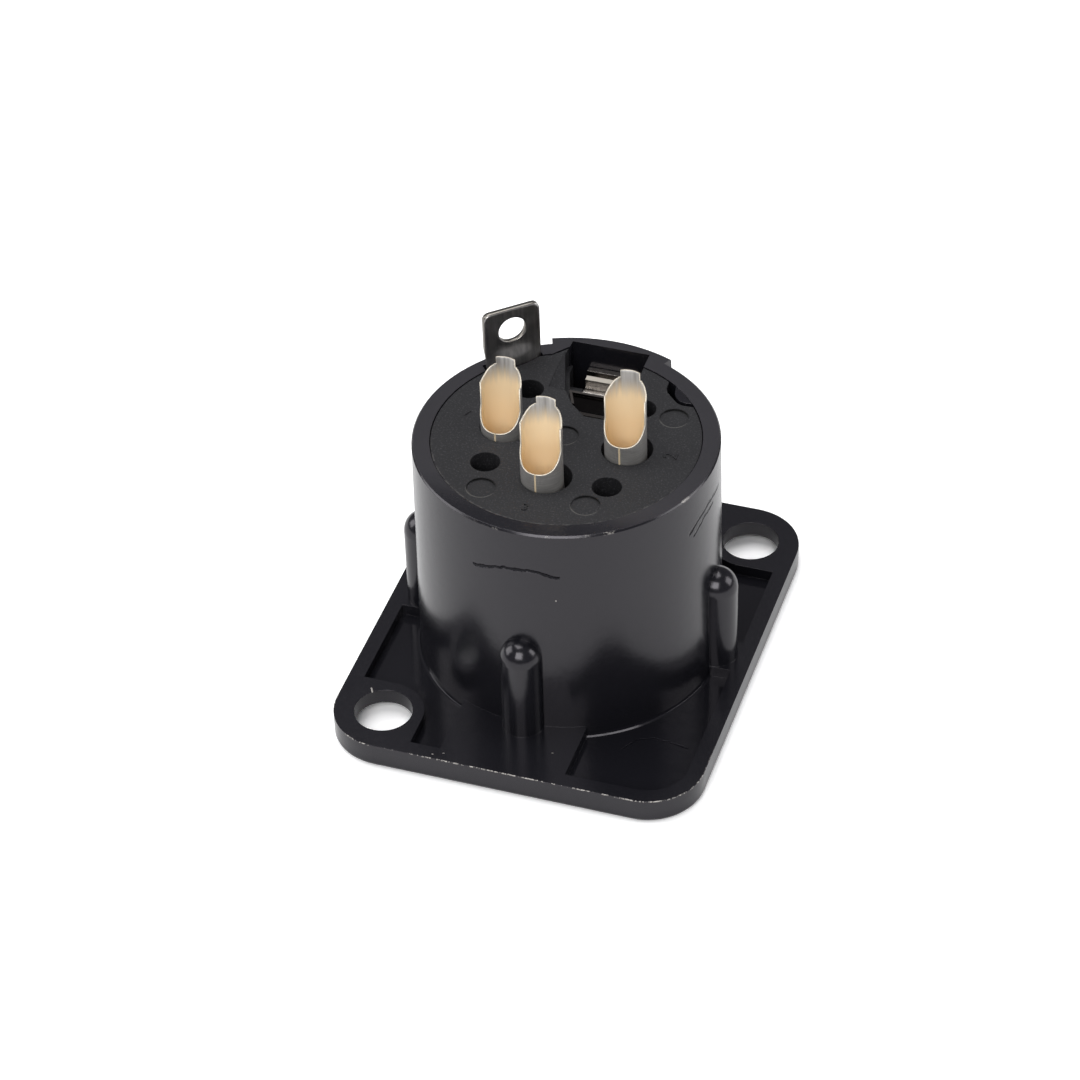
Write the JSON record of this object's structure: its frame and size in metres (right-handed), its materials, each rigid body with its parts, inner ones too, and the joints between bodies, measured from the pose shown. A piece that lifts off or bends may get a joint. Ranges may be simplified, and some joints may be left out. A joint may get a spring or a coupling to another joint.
{
  "type": "panel socket",
  "caption": "Round-barrelled audio panel socket with a screw flange, moulded contact insert, solder cups, ground lug and sprung release latch.",
  "frame": {"origin": "on the barrel's axis at the flange's front face, the bottom centre of the bounding box", "axes": "+Z along the barrel from the front face to the solder side, +Y towards the latch, along the flange's length, +X to the right of it seen from the rear"},
  "size_m": [0.026, 0.031, 0.0242],
  "materials": {
    "housing_coating": "satin black coating",
    "insert_plastic": "fine matt",
    "contact_plating": "tin plated, satin outside",
    "lug_plating": "bright tin plating",
    "latch_steel": "drawn sheet steel",
    "pin_steel": "ground",
    "spring_steel": "rolled spring strip"
  },
  "bodies": {
    "socket": {"housing": "housing_coating", "insert": "insert_plastic", "nose": "insert_plastic", "contact_1": "contact_plating", "contact_2": "contact_plating", "contact_3": "contact_plating", "ground_lug": "lug_plating", "hinge_pin": "pin_steel", "leaf_spring": "spring_steel"},
    "latch": {"latch_lever": "latch_steel"}
  },
  "joints": [
    {"name": "latch_swing", "type": "hinge", "parent": "socket", "child": "latch", "pos_m": [0, 0.0074, 0.0156], "axis": [1, 0, 0], "range_deg": [0, 3.4], "stiffness_Nm_per_rad": 0.3, "springref_deg": -1.72, "deforming": ["leaf_spring"]}
  ]
}
